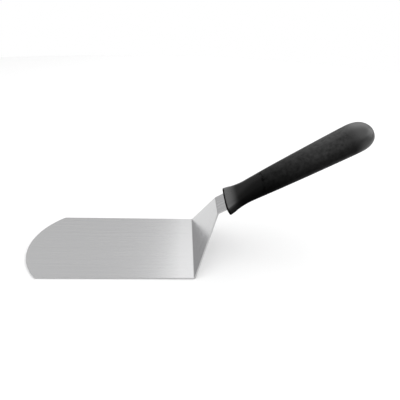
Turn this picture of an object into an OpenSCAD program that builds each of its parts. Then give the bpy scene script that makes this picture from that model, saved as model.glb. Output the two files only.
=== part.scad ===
// Offset spatula for a bakery or a griddle: one sheet of steel bent twice, with a moulded grip.
// Units are millimetres. +Z is up, +X runs from the tip towards the handle, and Y is across.
// The origin is the middle of the overall box, on the plane the blade rests on.

/* [Blade] */
// Width of the blade across Y
blade_w = 95; // [60:1:130]
// Length of the flat blade, from the first bend to the end of the tip
blade_len = 150; // [90:1:220]
// Radius of the rounded tip, as seen from above
tip_r = 67.5; // [50:1:120]
// Thickness of the steel sheet
sheet_t = 1.2; // [0.8:0.1:2.5]

/* [Offset] */
// Height of the rising shoulder, from the blade to the second bend
rise = 43.4; // [20:0.1:80]
// How far back the shoulder leans over that height
lean = 19.4; // [5:0.1:50]
// Inner radius of the first bend
bend_r1 = 1; // [0.5:0.1:6]
// Inner radius of the second bend
bend_r2 = 1.5; // [0.5:0.1:6]
// Width of the neck at the second bend
neck_w = 29.4; // [15:0.1:50]
// Length of bare neck between the second bend and the grip
neck_len = 9.5; // [2:0.1:30]
// Angle of the neck and the grip above the blade plane
grip_angle = 31; // [0:0.5:60]

/* [Tang] */
// Length of the tang inside the grip
tang_len = 72; // [30:1:100]
// Width of the tang inside the grip
tang_w = 14; // [8:0.5:20]
// Diameter of the two holes that lock the grip on the tang
lock_d = 6; // [3:0.5:9]

/* [Grip] */
// How far the grip's axis sits below the middle of the steel sheet
grip_drop = 0.4; // [0:0.1:2]
// Length of the grip along its own axis
grip_len = 134.2; // [90:0.1:170]
// Width of the grip collar at the front
collar_w = 41.6; // [24:0.1:50]
// Thickness of the grip collar at the front
collar_t = 10.8; // [6:0.1:24]
// Width of the narrow waist behind the collar
waist_w = 26; // [16:0.5:36]
// Thickness of the waist
waist_t = 15; // [10:0.5:24]
// Width of the grip at its fat end
butt_w = 32.2; // [20:0.1:44]
// Thickness of the grip at its fat end
butt_t = 21.6; // [14:0.1:34]

/* [Hidden] */
$fn = 96;
// small overlap that joins touching pieces of one sheet
eps = 0.01;
// clearance of the cutting outlines
margin = 10;

lean_a = atan(rise / lean);
// first bend: tangent length on the upper face
tan_1 = bend_r1 * tan(lean_a / 2);
// second bend: the upper face is the outside of the bend
turn_2 = lean_a - grip_angle;
tan_2 = (bend_r2 + sheet_t) * tan(turn_2 / 2);
// p2 is where the upper faces of shoulder and neck would meet; c1 and c2 are the centres of the bends
p2 = [lean, sheet_t + rise];
d1 = [cos(lean_a), sin(lean_a)];
d2 = [cos(grip_angle), sin(grip_angle)];
n1 = [sin(lean_a), -cos(lean_a)];
n2 = [sin(grip_angle), -cos(grip_angle)];
up2 = [-sin(grip_angle), cos(grip_angle)];
s_start = [0, sheet_t] + d1 * tan_1;
s_end = p2 - d1 * tan_2;
n_start = p2 + d2 * tan_2;
c1 = [-tan_1, sheet_t + bend_r1];
c2 = n_start + n2 * (bend_r2 + sheet_t);
// how far the wedges that cut the bends out of a full ring reach
reach_1 = 3 * (bend_r1 + sheet_t);
reach_2 = 3 * (bend_r2 + sheet_t);
// front face centre of the grip, in the middle of the sheet
grip_0 = p2 + d2 * neck_len + n2 * (sheet_t / 2 + grip_drop);

// where the grip's rounded end cap begins, along its axis
body_end = 117.5;
// Stations of the grip: distance from its front face, half width, half thickness, squareness
stations = [
    [0.0, collar_w / 2 - 0.7, collar_t / 2 - 0.7, 3.4],
    [0.3, collar_w / 2 - 0.2, collar_t / 2 - 0.2, 3.4],
    [0.9, collar_w / 2, collar_t / 2, 3.4],
    [4.5, collar_w / 2 - 1.3, collar_t / 2 - 0.1, 3.6],
    [8.0, waist_w / 2 + 4.7, waist_t / 2 - 2.6, 3.9],
    [12.0, waist_w / 2 + 2.6, waist_t / 2 - 2.3, 4.0],
    [18.0, waist_w / 2 + 1.0, waist_t / 2 - 1.5, 3.3],
    [27.0, waist_w / 2, waist_t / 2, 2.8],
    [45.0, waist_w / 2 + 0.3, waist_t / 2 + 1.35, 2.6],
    [70.0, waist_w / 2 + 1.5, waist_t / 2 + 2.2, 2.5],
    [95.0, butt_w / 2 - 0.7, butt_t / 2 - 0.5, 2.5],
    [body_end, butt_w / 2, butt_t / 2, 2.4]
];
cap_len = grip_len - body_end;

// smooth curve through the stations, column c, at distance s
function seg(s, i = 0) = (i >= len(stations) - 2 || s <= stations[i + 1][0]) ? i : seg(s, i + 1);
function slope(i, c) =
    i == 0 ? (stations[1][c] - stations[0][c]) / (stations[1][0] - stations[0][0]) :
    i == len(stations) - 1 ? 0 :
    (stations[i + 1][c] - stations[i - 1][c]) / (stations[i + 1][0] - stations[i - 1][0]);
function herm(t, a, b, ma, mb) =
    (2 * t * t * t - 3 * t * t + 1) * a + (t * t * t - 2 * t * t + t) * ma
    + (3 * t * t - 2 * t * t * t) * b + (t * t * t - t * t) * mb;
function at(s, c) =
    let (i = seg(s), h = stations[i + 1][0] - stations[i][0], t = min(1, (s - stations[i][0]) / h))
    herm(t, stations[i][c], stations[i + 1][c], slope(i, c) * h, slope(i + 1, c) * h);
// rounded end cap: 1 at the start of the cap, 0 at the very end
cap_e = 2.3;
function cap(s) = s <= body_end ? 1 : pow(max(0, 1 - pow((s - body_end) / cap_len, cap_e)), 1 / cap_e);

// distances of the rings along the grip: close together at the collar, wider along the body
cuts = concat(
    [0, 0.15, 0.3, 0.6, 0.9, 1.8],
    [for (i = [0 : 8]) 3 + i * 1.5],
    [for (i = [1 : 25]) 15 + i * 4],
    [for (i = [1 : 12]) body_end + cap_len * sin(i * 7.5)]
);
sides = 56;

function sgnpow(v, e) = v < 0 ? -pow(-v, e) : pow(v, e);
// one point of the grip skin: s along the axis, angle a around it
function skin(s, a) =
    let (k = cap(s),
         w = at(min(s, body_end), 1) * k,
         h = at(min(s, body_end), 2) * k,
         e = 2 / at(min(s, body_end), 3),
         y = w * sgnpow(cos(a), e),
         n = h * sgnpow(sin(a), e))
    [grip_0[0] + d2[0] * s + up2[0] * n, y, grip_0[1] + d2[1] * s + up2[1] * n];

// the centre of the front face, then every ring; the last ring has shrunk to the end point
skin_points = concat(
    [[grip_0[0], 0, grip_0[1]]],
    [for (s = cuts) for (j = [0 : sides - 1]) skin(s, j * 360 / sides)],
    [skin(grip_len, 0)]
);
rings = len(cuts) - 1;
end_point = len(skin_points) - 1;
// index of point j of ring i
function ring_at(i, j) = 1 + i * sides + j % sides;
skin_faces = concat(
    [for (j = [0 : sides - 1]) [0, ring_at(0, j), ring_at(0, j + 1)]],
    [for (i = [0 : rings - 2]) for (j = [0 : sides - 1])
        [ring_at(i, j), ring_at(i + 1, j), ring_at(i + 1, j + 1)]],
    [for (i = [0 : rings - 2]) for (j = [0 : sides - 1])
        [ring_at(i, j), ring_at(i + 1, j + 1), ring_at(i, j + 1)]],
    [for (j = [0 : sides - 1]) [ring_at(rings - 1, j), end_point, ring_at(rings - 1, j + 1)]]
);

// overall length along X, used to put the origin in the middle of the box
x_max = max([for (p = skin_points) p[0]]);
shift = (blade_len - x_max) / 2;

// polygon in the XZ plane, extruded across Y by w, centred
module slab(w) {
    rotate([90, 0, 0])
        linear_extrude(height = w, center = true)
            children();
}

// the bent strip behind the flat blade, full width, before its outline is cut
module bent_strip() {
    // first bend
    intersection() {
        translate([c1[0], 0, c1[1]])
            rotate([90, 0, 0])
                difference() {
                    cylinder(r = bend_r1 + sheet_t, h = blade_w, center = true);
                    cylinder(r = bend_r1, h = blade_w + 1, center = true);
                }
        slab(blade_w)
            polygon([
                c1,
                c1 - [0, reach_1],
                c1 + reach_1 * [sin(lean_a / 2), -cos(lean_a / 2)],
                c1 + reach_1 * n1
            ]);
    }
    // rising shoulder
    slab(blade_w)
        polygon([
            s_start - d1 * eps,
            s_start - d1 * eps + n1 * sheet_t,
            s_end + d1 * eps + n1 * sheet_t,
            s_end + d1 * eps
        ]);
    // second bend
    intersection() {
        translate([c2[0], 0, c2[1]])
            rotate([90, 0, 0])
                difference() {
                    cylinder(r = bend_r2 + sheet_t, h = blade_w, center = true);
                    cylinder(r = bend_r2, h = blade_w + 1, center = true);
                }
        slab(blade_w)
            polygon([
                c2,
                c2 - n1 * reach_2,
                c2 - n2 * reach_2
            ]);
    }
}

// outline of the shoulder seen along X: a trapezium from blade width to neck width
module shoulder_mask() {
    translate([-margin, 0, 0])
        rotate([90, 0, 90])
            linear_extrude(height = lean + 3 * margin)
                polygon([
                    [-blade_w / 2, -1],
                    [blade_w / 2, -1],
                    [blade_w / 2, sheet_t],
                    [neck_w / 2, p2[1]],
                    [neck_w / 2, p2[1] + margin],
                    [-neck_w / 2, p2[1] + margin],
                    [-neck_w / 2, p2[1]],
                    [-blade_w / 2, sheet_t]
                ]);
}

// frame along the neck: local X along the neck, local Z out of its upper face
module neck_frame() {
    translate([n_start[0], 0, n_start[1]])
        rotate([0, -grip_angle, 0])
            children();
}

// bare neck and the tang that goes up inside the grip
neck_flat = neck_len - tan_2;
// places of the two lock holes, as fractions of the tang's length
lock_at = [0.42, 0.78];
module neck_and_tang() {
    neck_frame() {
        translate([-eps, -neck_w / 2, -sheet_t])
            cube([neck_flat + eps, neck_w, sheet_t]);
        difference() {
            translate([neck_flat - eps, -tang_w / 2, -sheet_t])
                cube([tang_len + eps, tang_w, sheet_t]);
            for (k = lock_at)
                translate([neck_flat + tang_len * k, 0, -sheet_t - 1])
                    cylinder(d = lock_d, h = sheet_t + 2);
        }
    }
}

module flat_blade() {
    intersection() {
        translate([-blade_len, -blade_w / 2, 0])
            cube([blade_len - tan_1 + eps, blade_w, sheet_t]);
        translate([-blade_len + tip_r, 0, -1])
            cylinder(r = tip_r, h = sheet_t + 2);
    }
    translate([-blade_len + tip_r, -blade_w / 2, 0])
        cube([blade_len - tip_r - tan_1 + eps, blade_w, sheet_t]);
}

module blade() {
    color([0.76, 0.76, 0.77])
        translate([shift, 0, 0]) {
            flat_blade();
            intersection() {
                bent_strip();
                shoulder_mask();
            }
            neck_and_tang();
        }
}

// moulded grip with the slot the tang fills, and the two plugs that lock into the tang holes
module handle() {
    color([0.06, 0.06, 0.065])
        translate([shift, 0, 0])
            difference() {
                polyhedron(points = skin_points, faces = skin_faces, convexity = 4);
                neck_and_tang();
            }
}

blade();
handle();
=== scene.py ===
import math

import bpy
from mathutils import Matrix, Vector


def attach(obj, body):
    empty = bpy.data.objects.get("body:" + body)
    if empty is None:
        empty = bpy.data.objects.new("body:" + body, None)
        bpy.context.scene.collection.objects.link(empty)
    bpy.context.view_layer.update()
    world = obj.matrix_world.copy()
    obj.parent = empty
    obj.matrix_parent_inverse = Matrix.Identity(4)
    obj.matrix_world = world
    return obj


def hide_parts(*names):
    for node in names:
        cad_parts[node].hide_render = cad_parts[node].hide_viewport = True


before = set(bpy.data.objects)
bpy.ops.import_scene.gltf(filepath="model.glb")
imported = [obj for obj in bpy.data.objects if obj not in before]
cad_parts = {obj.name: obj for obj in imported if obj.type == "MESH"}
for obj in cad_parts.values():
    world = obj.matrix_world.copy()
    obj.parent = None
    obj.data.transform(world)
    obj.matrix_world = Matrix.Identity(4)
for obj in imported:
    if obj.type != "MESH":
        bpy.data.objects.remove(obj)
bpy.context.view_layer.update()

MM = 0.001

# ---------------------------------------------------------------- sizes of the part, in mm
BLADE_W, BLADE_L, TIP_R, SHEET = 95.0, 150.0, 67.5, 1.2
RISE, LEAN, R1, R2 = 43.4, 19.4, 1.0, 1.5
NECK_W, NECK_L, GRIP_A = 29.4, 9.5, math.radians(31)
TANG_L, TANG_W = 72.0, 14.0
GRIP_L, COLLAR_W, COLLAR_T = 134.2, 41.6, 10.8
WAIST_W, WAIST_T, BUTT_W, BUTT_T = 26.0, 15.0, 32.2, 21.6
BODY_END, CAP_E, DROP = 117.5, 2.3, 0.4

# directions along the shoulder and the neck, and out of their upper faces
lean_a = math.atan2(RISE, LEAN)
d1 = Vector((math.cos(lean_a), 0, math.sin(lean_a)))
n1 = Vector((-math.sin(lean_a), 0, math.cos(lean_a)))
d2 = Vector((math.cos(GRIP_A), 0, math.sin(GRIP_A)))
n2 = Vector((-math.sin(GRIP_A), 0, math.cos(GRIP_A)))
# where the upper faces of shoulder and neck would meet, and how far each bend reaches along them
p2 = Vector((LEAN, 0, SHEET + RISE))
tan1 = R1 * math.tan(lean_a / 2)
tan2 = (R2 + SHEET) * math.tan((lean_a - GRIP_A) / 2)
# centre of the grip's front face
grip0 = p2 + d2 * NECK_L - n2 * (SHEET / 2 + DROP)

# the frame's origin is the bottom centre of the overall box; the first bend is one blade length from the tip
tip_x = min(v.co.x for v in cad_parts["blade"].data.vertices)
SHIFT = Vector((tip_x / MM + BLADE_L, 0, 0))


def place(p):
    """A point measured in mm from the first bend, as a point in the frame."""
    return (Vector(p) + SHIFT) * MM


def new_mesh(name, verts, faces, smooth=True):
    me = bpy.data.meshes.new(name)
    me.from_pydata([tuple(v) for v in verts], [], faces)
    me.validate()
    me.update()
    for f in me.polygons:
        f.use_smooth = smooth
    ob = bpy.data.objects.new(name, me)
    bpy.context.scene.collection.objects.link(ob)
    return ob


# ---------------------------------------------------------------- the steel sheet
TIP_ROWS, FLAT_ROWS, BEND1_ROWS, SHOULDER_ROWS, BEND2_ROWS, NECK_ROWS = 40, 12, 12, 12, 10, 4
SHEET_COLS = 24
# the wide sheet ends just inside the collar, where it steps down to the tang
NECK_HIDDEN, TANG_STEP = 0.3, 0.05
EDGE_BEVEL = 0.14


def sheet_rows():
    """Centre of the upper face, its normal and the half width, from the tip to the tang."""
    rows = []
    half = BLADE_W / 2
    up = Vector((0, 0, 1))
    tip_centre = -BLADE_L + TIP_R
    a_end = math.asin(half / TIP_R)
    for i in range(TIP_ROWS + 1):
        a = a_end * i / TIP_ROWS
        rows.append((Vector((tip_centre - TIP_R * math.cos(a), 0, SHEET)), up, TIP_R * math.sin(a)))
    x_arc = tip_centre - TIP_R * math.cos(a_end)
    for i in range(1, FLAT_ROWS + 1):
        x = x_arc + (-tan1 - x_arc) * i / FLAT_ROWS
        rows.append((Vector((x, 0, SHEET)), up, half))

    def width(z):
        t = max(0.0, min(1.0, (z - SHEET) / RISE))
        return half + (NECK_W / 2 - half) * t

    for i in range(1, BEND1_ROWS + 1):
        a = lean_a * i / BEND1_ROWS
        n = Vector((-math.sin(a), 0, math.cos(a)))
        p = Vector((-tan1, 0, SHEET + R1)) - n * R1
        rows.append((p, n, width(p.z)))
    s0 = Vector((0, 0, SHEET)) + d1 * tan1
    s1 = p2 - d1 * tan2
    for i in range(1, SHOULDER_ROWS + 1):
        p = s0.lerp(s1, i / SHOULDER_ROWS)
        rows.append((p, n1, width(p.z)))
    c2 = s1 - n1 * (R2 + SHEET)
    for i in range(1, BEND2_ROWS + 1):
        a = lean_a + (GRIP_A - lean_a) * i / BEND2_ROWS
        n = Vector((-math.sin(a), 0, math.cos(a)))
        p = c2 + n * (R2 + SHEET)
        rows.append((p, n, width(p.z)))
    k0 = p2 + d2 * tan2
    k1 = p2 + d2 * (NECK_L + NECK_HIDDEN)
    for i in range(1, NECK_ROWS + 1):
        rows.append((k0.lerp(k1, i / NECK_ROWS), n2, NECK_W / 2))
    rows.append((k1 + d2 * TANG_STEP, n2, TANG_W / 2))
    rows.append((p2 + d2 * (NECK_L + TANG_L), n2, TANG_W / 2))
    return rows


def make_sheet():
    """The whole bent sheet as one closed mesh, with softened edges."""
    cols = SHEET_COLS
    verts, faces, top, bot = [], [], [], []
    rows = sheet_rows()
    for p, n, w in rows:
        for depth, store in ((0.0, top), (SHEET, bot)):
            line = []
            if w < 1e-6:
                verts.append(place(p - n * depth))
                line = [len(verts) - 1] * (cols + 1)
            else:
                for j in range(cols + 1):
                    across = Vector((0, w * (2 * j / cols - 1), 0))
                    verts.append(place(p - n * depth + across))
                    line.append(len(verts) - 1)
            store.append(line)

    def quad(*corners):
        # the tip's first row is one point, so a corner there may repeat
        face = list(dict.fromkeys(corners))
        if len(face) > 2:
            faces.append(face)

    for i in range(len(rows) - 1):
        for j in range(cols):
            quad(top[i][j], top[i + 1][j], top[i + 1][j + 1], top[i][j + 1])
            quad(bot[i][j], bot[i][j + 1], bot[i + 1][j + 1], bot[i + 1][j])
        quad(top[i][0], bot[i][0], bot[i + 1][0], top[i + 1][0])
        quad(top[i][cols], top[i + 1][cols], bot[i + 1][cols], bot[i][cols])
    for j in range(cols):
        quad(top[-1][j], bot[-1][j], bot[-1][j + 1], top[-1][j + 1])
    ob = new_mesh("sheet", verts, faces)
    bevel = ob.modifiers.new("edge", "BEVEL")
    bevel.width = EDGE_BEVEL * MM
    bevel.segments = 2
    bevel.limit_method = "ANGLE"
    bevel.angle_limit = math.radians(40)
    bevel.harden_normals = True
    return ob


# ---------------------------------------------------------------- the grip
# distance from the front face, half width, half thickness, squareness
STATIONS = (
    (0.0, COLLAR_W / 2 - 0.7, COLLAR_T / 2 - 0.7, 3.4),
    (0.3, COLLAR_W / 2 - 0.2, COLLAR_T / 2 - 0.2, 3.4),
    (0.9, COLLAR_W / 2, COLLAR_T / 2, 3.4),
    (4.5, COLLAR_W / 2 - 1.3, COLLAR_T / 2 - 0.1, 3.6),
    (8.0, WAIST_W / 2 + 4.7, WAIST_T / 2 - 2.6, 3.9),
    (12.0, WAIST_W / 2 + 2.6, WAIST_T / 2 - 2.3, 4.0),
    (18.0, WAIST_W / 2 + 1.0, WAIST_T / 2 - 1.5, 3.3),
    (27.0, WAIST_W / 2, WAIST_T / 2, 2.8),
    (45.0, WAIST_W / 2 + 0.3, WAIST_T / 2 + 1.35, 2.6),
    (70.0, WAIST_W / 2 + 1.5, WAIST_T / 2 + 2.2, 2.5),
    (95.0, BUTT_W / 2 - 0.7, BUTT_T / 2 - 0.5, 2.5),
    (BODY_END, BUTT_W / 2, BUTT_T / 2, 2.4),
)
GRIP_SIDES = 144


def at(s, c):
    """Column c of the stations at distance s, on a smooth curve through them."""
    s = min(s, BODY_END)
    last = len(STATIONS) - 1
    i = 0
    while i < last - 1 and s > STATIONS[i + 1][0]:
        i += 1

    def slope(j):
        if j == last:
            return 0.0
        k = max(j - 1, 0)
        return (STATIONS[j + 1][c] - STATIONS[k][c]) / (STATIONS[j + 1][0] - STATIONS[k][0])

    h = STATIONS[i + 1][0] - STATIONS[i][0]
    t = min(1.0, (s - STATIONS[i][0]) / h)
    a, b, ma, mb = STATIONS[i][c], STATIONS[i + 1][c], slope(i) * h, slope(i + 1) * h
    return ((2 * t**3 - 3 * t * t + 1) * a + (t**3 - 2 * t * t + t) * ma
            + (3 * t * t - 2 * t**3) * b + (t**3 - t * t) * mb)


def spow(v, e):
    return math.copysign(abs(v) ** e, v)


def grip_cuts():
    """Distances of the rings: close together at the collar's rim, even along the body, then round the cap."""
    cuts = [0, 0.08, 0.15, 0.22, 0.3, 0.45, 0.6, 0.75, 0.9, 1.3, 1.8, 2.4]
    cuts += [3 + 0.75 * i for i in range(17)]
    cuts += [15.5 + 1.5 * i for i in range(68)]
    cap = GRIP_L - BODY_END
    return cuts + [BODY_END + cap * math.sin(math.radians(3 * i)) for i in range(30)]


def make_grip():
    """The grip as rings along the neck's axis, closed at both ends."""
    sides = GRIP_SIDES
    cuts = grip_cuts()
    cap = GRIP_L - BODY_END
    verts, faces = [], []
    for s in cuts:
        k = 1.0
        if s > BODY_END:
            k = max(0.0, 1 - ((s - BODY_END) / cap) ** CAP_E) ** (1 / CAP_E)
        w, h, e = at(s, 1) * k, at(s, 2) * k, 2 / at(s, 3)
        for j in range(sides):
            a = 2 * math.pi * j / sides
            across = Vector((0, w * spow(math.cos(a), e), 0))
            verts.append(place(grip0 + d2 * s + n2 * (h * spow(math.sin(a), e)) + across))
    for i in range(len(cuts) - 1):
        for j in range(sides):
            k = (j + 1) % sides
            faces.append((i * sides + j, i * sides + k, (i + 1) * sides + k, (i + 1) * sides + j))
    verts.append(place(grip0 + d2 * GRIP_L))
    end = len(verts) - 1
    last = (len(cuts) - 1) * sides
    for j in range(sides):
        faces.append((last + j, last + (j + 1) % sides, end))
    front = tuple(range(sides))[::-1]
    faces.append(front)
    ob = new_mesh("grip", verts, faces)
    ob.data.polygons[-1].use_smooth = False
    return ob


def face_outwards(ob):
    bpy.context.view_layer.objects.active = ob
    ob.select_set(True)
    bpy.ops.object.mode_set(mode="EDIT")
    bpy.ops.mesh.select_all(action="SELECT")
    bpy.ops.mesh.normals_make_consistent(inside=False)
    bpy.ops.object.mode_set(mode="OBJECT")
    ob.select_set(False)


sheet = make_sheet()
grip = make_grip()
face_outwards(sheet)
face_outwards(grip)


# ---------------------------------------------------------------- materials
STEEL = (0.56, 0.56, 0.565, 1)
TABLE = (0.93, 0.93, 0.93, 1)


class Surface:
    """A material with one shader, and short calls for the nodes that feed it."""

    def __init__(self, name):
        self.material = bpy.data.materials.new(name)
        self.material.use_nodes = True
        self.tree = self.material.node_tree
        self.tree.nodes.clear()
        out = self.add("ShaderNodeOutputMaterial")
        self.shader = self.add("ShaderNodeBsdfPrincipled")
        self.link(self.shader.outputs[0], out.inputs[0])
        self.coords = self.add("ShaderNodeTexCoord")

    def add(self, kind, **settings):
        n = self.tree.nodes.new(kind)
        for key, value in settings.items():
            setattr(n, key, value)
        return n

    def link(self, source, target):
        self.tree.links.new(source, target)

    def feed(self, value, socket):
        """A number goes into the socket itself, and anything else is linked to it."""
        if isinstance(value, (int, float)):
            socket.default_value = value
        else:
            self.link(value, socket)

    def calc(self, op, x, y=0.0):
        n = self.add("ShaderNodeMath", operation=op)
        self.feed(x, n.inputs[0])
        self.feed(y, n.inputs[1])
        return n.outputs[0]

    def ramp(self, source, lo, hi, a, z, kind="SMOOTHSTEP"):
        """a below lo, z above hi, and a blend between."""
        n = self.add("ShaderNodeMapRange", interpolation_type=kind)
        for k, value in enumerate((source, lo, hi, a, z)):
            self.feed(value, n.inputs[k])
        return n.outputs[0]

    def noise(self, scale, detail, roughness=0.5, stretch=None):
        n = self.add("ShaderNodeTexNoise")
        for key, value in (("Scale", scale), ("Detail", detail), ("Roughness", roughness)):
            n.inputs[key].default_value = value
        where = self.coords.outputs["Object"]
        if stretch:
            mapping = self.add("ShaderNodeMapping")
            mapping.inputs["Scale"].default_value = stretch
            self.link(where, mapping.inputs[0])
            where = mapping.outputs[0]
        self.link(where, n.inputs["Vector"])
        return n.outputs["Fac"]

    def dot(self, output, direction):
        n = self.add("ShaderNodeVectorMath", operation="DOT_PRODUCT")
        self.link(self.coords.outputs[output], n.inputs[0])
        n.inputs[1].default_value = tuple(direction)
        return n.outputs["Value"]

    def bump(self, height, strength, distance):
        n = self.add("ShaderNodeBump")
        n.inputs["Strength"].default_value = strength
        n.inputs["Distance"].default_value = distance
        self.link(height, n.inputs["Height"])
        self.link(n.outputs[0], self.shader.inputs["Normal"])


def steel_material():
    """Brushed stainless steel, with its cut edges ground."""
    m = Surface("brushed steel")
    shader = m.shader
    shader.inputs["Metallic"].default_value = 1.0
    # brush marks: noise drawn out along the length of the sheet
    fine = m.noise(1.0, 3.0, 0.6, stretch=(14, 2600, 14))
    broad = m.noise(1.0, 2.0, stretch=(5, 420, 5))
    brushed = m.ramp(fine, 0.3, 0.7, 0.24, 0.28, "LINEAR")
    # the cut edges are duller than the faces: they face sideways, or straight ahead at the tip
    normal = m.add("ShaderNodeSeparateXYZ")
    m.link(m.coords.outputs["Normal"], normal.inputs[0])
    sideways = m.calc("ABSOLUTE", normal.outputs["Y"])
    upright = m.calc("ABSOLUTE", normal.outputs["Z"])
    ground = m.calc("MAXIMUM", m.ramp(sideways, 0.3, 0.55, 0.0, 0.3, "LINEAR"),
                    m.ramp(upright, 0.12, 0.3, 0.3, 0.0, "LINEAR"))
    m.link(m.calc("ADD", brushed, ground), shader.inputs["Roughness"])
    tint = m.add("ShaderNodeMixRGB", blend_type="MULTIPLY")
    tint.inputs[0].default_value = 1.0
    tint.inputs[1].default_value = STEEL
    m.link(m.ramp(broad, 0.3, 0.7, 0.984, 1.016, "LINEAR"), tint.inputs[2])
    m.link(tint.outputs[0], shader.inputs["Base Color"])
    m.bump(fine, 0.22, 0.02 * MM)
    return m.material


def grip_material():
    """Black moulded plastic: smooth collar and end, a worn, finely grained middle."""
    m = Surface("black moulded plastic")
    calc, ramp = m.calc, m.ramp
    # distance along the grip, in metres from its front face, and how far the surface faces up out of the neck
    along = calc("SUBTRACT", m.dot("Object", d2), place(grip0).dot(d2))
    facing = m.dot("Normal", n2)

    grain = m.noise(1500.0, 2.0, 0.6)
    mottle = m.noise(280.0, 4.0, 0.65)
    patch = m.noise(190.0, 1.0)
    wear = m.noise(60.0, 2.0)
    uneven = calc("SUBTRACT", mottle, 0.5)
    worn = calc("SUBTRACT", wear, 0.5)

    # where each zone begins or ends along the grip, as the start and finish of a blend
    grain_begins, grain_ends = (0.033, 0.037), (0.112, 0.119)
    line_begins, line_ends = (0.0335, 0.0348), (0.0352, 0.0372)
    far_end = (0.112, 0.124)

    # the grained middle has wandering ends, and a broken dark line where it begins
    wander = calc("ADD", calc("MULTIPLY", worn, 0.016), calc("MULTIPLY", uneven, 0.009))
    edge = calc("ADD", along, wander)
    grained = calc("MULTIPLY", ramp(edge, *grain_begins, 0, 1), ramp(edge, *grain_ends, 1, 0))
    line = calc("MULTIPLY", ramp(edge, *line_begins, 0, 1), ramp(edge, *line_ends, 1, 0))
    line = calc("MULTIPLY", line, ramp(patch, 0.4, 0.55, 0.1, 1.0))
    # painted shade: the front face and the narrow rim round it are darkened, in shine and base colour
    behind_rim = (0.0012, 0.002)

    # how much the surface shines: a painted highlight on the collar where it faces up out of the neck, and a
    # gloss rising towards the far end, where the palm polishes it
    painted_top_highlight = ramp(facing, 0.5, 0.93, 0.0, 1.0)
    collar = calc("ADD", calc("MULTIPLY", ramp(along, 0.002, 0.013, 1.0, 0.0), painted_top_highlight), 0.07)
    palm = ramp(along, 0.03, 0.105, 0.0, 0.3)
    cap = ramp(along, *far_end, 0.0, 0.2)
    # painted shade: the sides and underside get less shine and a darker base colour than the upper side,
    # except at the end
    painted_side_shade = ramp(facing, -0.15, 0.45, 0.25, 1.0)
    painted_side_shade = calc("MAXIMUM", painted_side_shade, ramp(along, 0.108, 0.124, 0.0, 0.85))
    gloss_and_painted_sheen = calc("MULTIPLY", calc("ADD", calc("ADD", collar, palm), cap), painted_side_shade)
    gloss_and_painted_sheen = calc("MULTIPLY", gloss_and_painted_sheen, ramp(along, *behind_rim, 0.0, 1.0))
    spots = calc("MULTIPLY", uneven, calc("MULTIPLY", grained, 2.1))
    gloss_and_painted_sheen = calc("MULTIPLY", gloss_and_painted_sheen, calc("ADD", 1.0, spots))
    gloss_and_painted_sheen = calc("MULTIPLY", gloss_and_painted_sheen, calc("SUBTRACT", 1.0, calc("MULTIPLY", line, 0.85)))
    # the specular level holds the plastic's own gloss together with the painted highlight and painted shade
    # above
    m.link(gloss_and_painted_sheen, m.shader.inputs["Specular IOR Level"])

    # the base colour is lighter at the collar, as painted light standing in for its lit upper facet, and a
    # little lighter at the far end; the sides, underside and front rim are darkened as painted shade
    grey = calc("ADD", ramp(along, 0.002, 0.015, 0.03, 0.002), ramp(along, *far_end, 0.0, 0.022))
    grey = calc("MULTIPLY", grey, painted_side_shade)
    grey = calc("MULTIPLY", grey, ramp(along, *behind_rim, 0.1, 1.0))
    colour = m.add("ShaderNodeCombineColor")
    for channel in range(3):
        m.link(grey, colour.inputs[channel])
    m.link(colour.outputs[0], m.shader.inputs["Base Color"])

    rough = calc("ADD", ramp(along, 0.106, 0.122, 0.3, 0.4), calc("MULTIPLY", grained, 0.13))
    m.link(calc("ADD", rough, calc("MULTIPLY", worn, 0.2)), m.shader.inputs["Roughness"])

    height = calc("MULTIPLY", grained, calc("ADD", calc("MULTIPLY", grain, 0.5), mottle))
    m.bump(calc("SUBTRACT", height, calc("MULTIPLY", line, 0.8)), 0.6, 0.16 * MM)
    return m.material


def table_material():
    m = Surface("pale table")
    m.shader.inputs["Base Color"].default_value = TABLE
    m.shader.inputs["Roughness"].default_value = 0.8
    m.shader.inputs["Specular IOR Level"].default_value = 0.1
    return m.material


sheet.data.materials.append(steel_material())
grip.data.materials.append(grip_material())

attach(sheet, "root")
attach(grip, "root")
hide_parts("blade")
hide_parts("handle")

# ---------------------------------------------------------------- studio, in metres
scene = bpy.context.scene
scene.view_settings.view_transform = "Standard"

# the floor is a hair below the blade, so the two never share a plane
FLOOR_R, FLOOR_Z, FLOOR_SIDES = 1.25, -0.0002, 128
turns = [2 * math.pi * i / FLOOR_SIDES for i in range(FLOOR_SIDES)]
rim = [(FLOOR_R * math.cos(a), FLOOR_R * math.sin(a), FLOOR_Z) for a in turns]
floor = new_mesh("floor", rim, [tuple(range(FLOOR_SIDES))], smooth=False)
floor.data.materials.append(table_material())


def panel(name, spot, target, size_x, size_y, radiance):
    """A soft rectangular light at spot, turned towards target."""
    light = bpy.data.lights.new(name, "AREA")
    light.shape = "RECTANGLE"
    light.size, light.size_y = size_x, size_y
    light.energy = radiance * math.pi * size_x * size_y
    ob = bpy.data.objects.new(name, light)
    scene.collection.objects.link(ob)
    ob.location = spot
    ob.rotation_euler = (Vector(target) - Vector(spot)).to_track_quat("-Z", "Y").to_euler()


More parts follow.
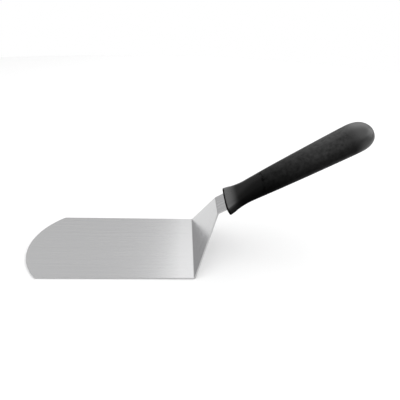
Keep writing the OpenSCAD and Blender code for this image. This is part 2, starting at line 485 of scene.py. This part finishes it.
panel("low back panel", (-0.7, 2.1, 0.75), (0, 0, 0.2), 5.4, 0.75, 0.07)
panel("high back panel", (-0.6, 1.75, 1.5), (-0.1, 0, 0.1), 4.6, 1.15, 0.29)
panel("right back panel", (0.62, 1.45, 1.28), (0, 0, 0.1), 1.4, 1.1, 0.98)
panel("right panel", (1.55, 0.1, 0.95), (0.12, 0, 0.1), 1.9, 1.3, 1.6)
panel("overhead panel", (0.0, -0.8, 2.1), (0.0, -0.8, 0), 5.0, 4.0, 0.7)


GLOW, BACKDROP = (0.55, 0.55, 0.55, 1), (1, 1, 1, 1)


def surround():
    """Soft grey light on the object from all round, and a white backdrop that only the camera sees."""
    world = bpy.data.worlds.new("studio")
    scene.world = world
    world.use_nodes = True
    tree = world.node_tree
    glow = tree.nodes["Background"]
    glow.inputs[0].default_value = GLOW
    backdrop = tree.nodes.new("ShaderNodeBackground")
    backdrop.inputs[0].default_value = BACKDROP
    path = tree.nodes.new("ShaderNodeLightPath")
    mix = tree.nodes.new("ShaderNodeMixShader")
    tree.links.new(path.outputs["Is Camera Ray"], mix.inputs[0])
    tree.links.new(glow.outputs[0], mix.inputs[1])
    tree.links.new(backdrop.outputs[0], mix.inputs[2])
    tree.links.new(mix.outputs[0], tree.nodes["World Output"].inputs[0])


surround()

# ---------------------------------------------------------------- camera
# a close view from the near side: its angles, and the place of the eye in mm from the first bend
ELEVATION, TURN, ROLL = (math.radians(a) for a in (28.164, -3.507, 2.497))
EYE = (-13.46, -297.1, 207.7 + SHEET)
LENS, SENSOR = 34.374, 36

level = math.cos(ELEVATION)
back = Vector((math.sin(TURN) * level, -math.cos(TURN) * level, math.sin(ELEVATION)))
right = Vector((math.cos(TURN), math.sin(TURN), 0))
up = back.cross(right)
rolled_right = right * math.cos(ROLL) + up * math.sin(ROLL)
rolled_up = up * math.cos(ROLL) - right * math.sin(ROLL)
cam_data = bpy.data.cameras.new("camera")
cam_data.sensor_width = SENSOR
cam_data.lens = LENS
cam_data.clip_start = 0.01
cam = bpy.data.objects.new("camera", cam_data)
scene.collection.objects.link(cam)
turned = Matrix((rolled_right, rolled_up, back)).transposed().to_4x4()
cam.matrix_world = Matrix.Translation(place(EYE)) @ turned
scene.camera = cam
